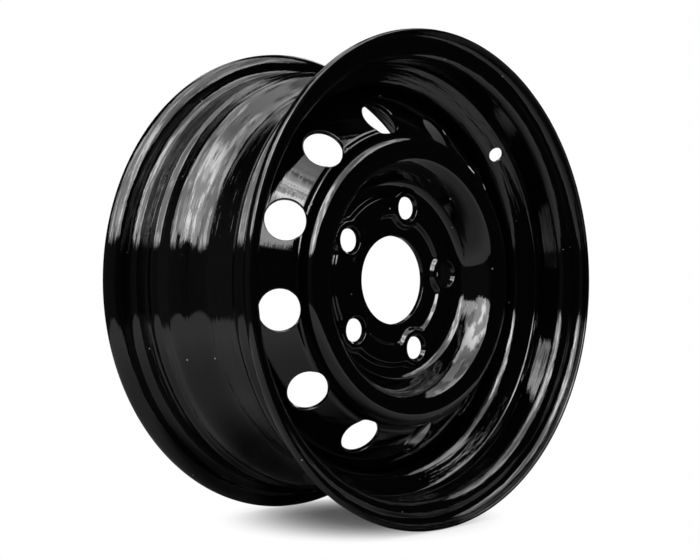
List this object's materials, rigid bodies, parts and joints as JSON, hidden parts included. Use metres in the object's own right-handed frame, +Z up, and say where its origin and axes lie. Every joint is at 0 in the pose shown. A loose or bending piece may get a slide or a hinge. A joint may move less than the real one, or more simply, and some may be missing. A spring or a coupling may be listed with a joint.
{
  "type": "steel wheel rim",
  "caption": "Black painted pressed-steel wheel: rolled drop-centre rim welded to a dished, vented disc with a lobed bolt pad and a centre bore.",
  "frame": {"origin": "centre of the wheel: on the spin axis, in the rim's mid-plane", "axes": "+Y along the spin axis towards the inboard side, outboard face to -Y, +Z up"},
  "size_m": [0.3639, 0.1646, 0.364],
  "materials": {
    "black_paint": "high gloss"
  },
  "bodies": {
    "root": {"rim": "black_paint", "disc": "black_paint", "disc_welds": "black_paint"}
  },
  "joints": []
}
